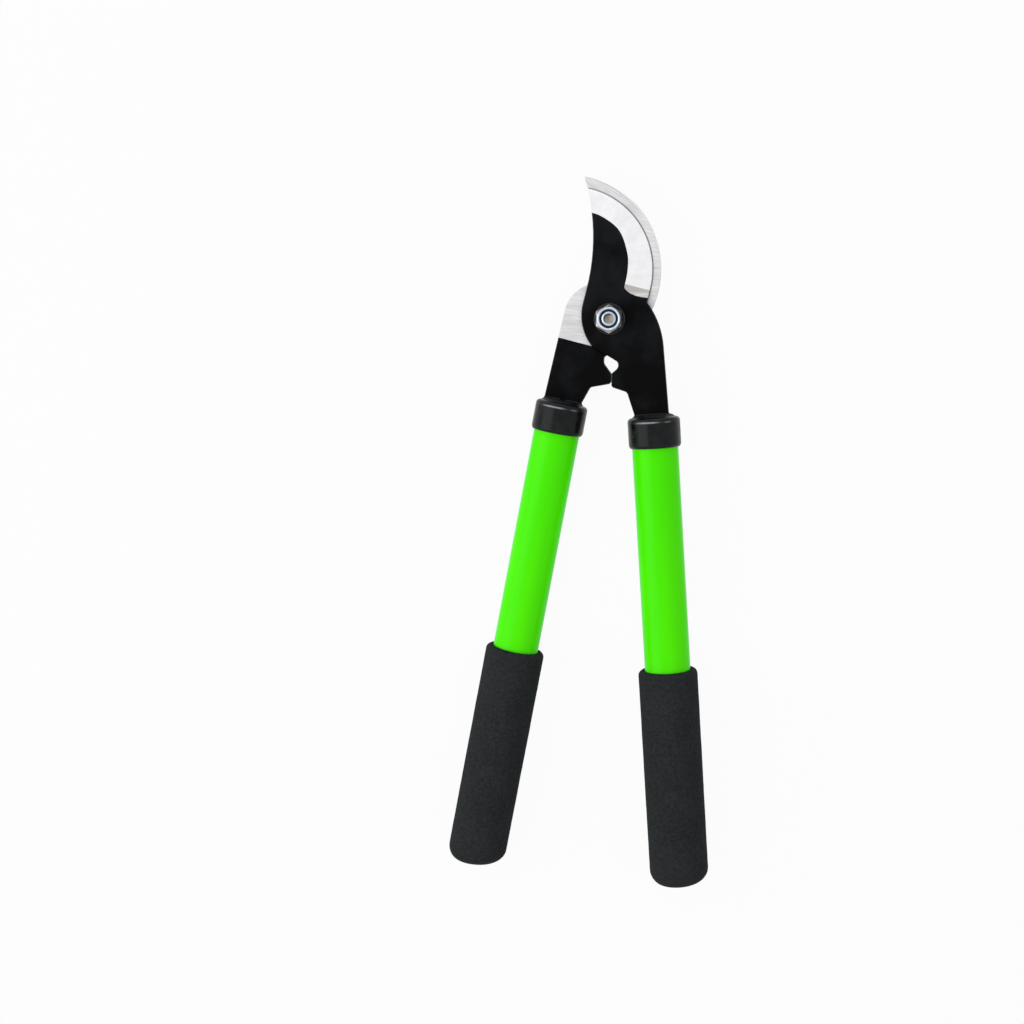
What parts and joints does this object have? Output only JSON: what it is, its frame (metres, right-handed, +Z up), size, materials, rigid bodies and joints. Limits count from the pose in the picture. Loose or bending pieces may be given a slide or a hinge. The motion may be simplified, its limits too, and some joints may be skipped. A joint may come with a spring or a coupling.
{
  "type": "bypass lopper",
  "caption": "Short-handled bypass lopper with a curved cutting blade over a crescent hook, tubular handles and closed foam grips.",
  "frame": {"origin": "on the floor under the centre of the closed tool's outline, where it lies flat on its grips", "axes": "+X across the tool from the hook's handle to the blade's handle, +Y from the grips towards the blades, +Z up off the floor towards the pivot's nut"},
  "size_m": [0.1393, 0.3722, 0.0312],
  "materials": {
    "blade_coat": "matte",
    "hook_steel": "satin",
    "zinc": "satin",
    "nylon": "satin",
    "collar_plastic": "gloss",
    "green_enamel": "gloss",
    "plug_plastic": "satin",
    "pin_steel": "satin",
    "foam": "matte"
  },
  "bodies": {
    "hook_side": {"hook_blade": "hook_steel", "pivot_bolt": "zinc", "pivot_nut": "zinc", "nut_nylon_ring": "nylon", "nut_washer": "zinc", "head_washer": "zinc", "left_collar": "collar_plastic", "left_tube": "green_enamel", "left_tang_plug": "plug_plastic", "left_tube_pin": "pin_steel", "left_grip": "foam", "left_end_plug": "plug_plastic"},
    "blade_side": {"cutting_blade": "blade_coat", "right_collar": "collar_plastic", "right_tube": "green_enamel", "right_tang_plug": "plug_plastic", "right_tube_pin": "pin_steel", "right_grip": "foam", "right_end_plug": "plug_plastic"}
  },
  "joints": [
    {"name": "blade_pivot", "type": "hinge", "parent": "hook_side", "child": "blade_side", "pos_m": [0.0152, 0.1131, 0.0156], "axis": [0, 0, 1], "range_deg": [0, 80]}
  ]
}
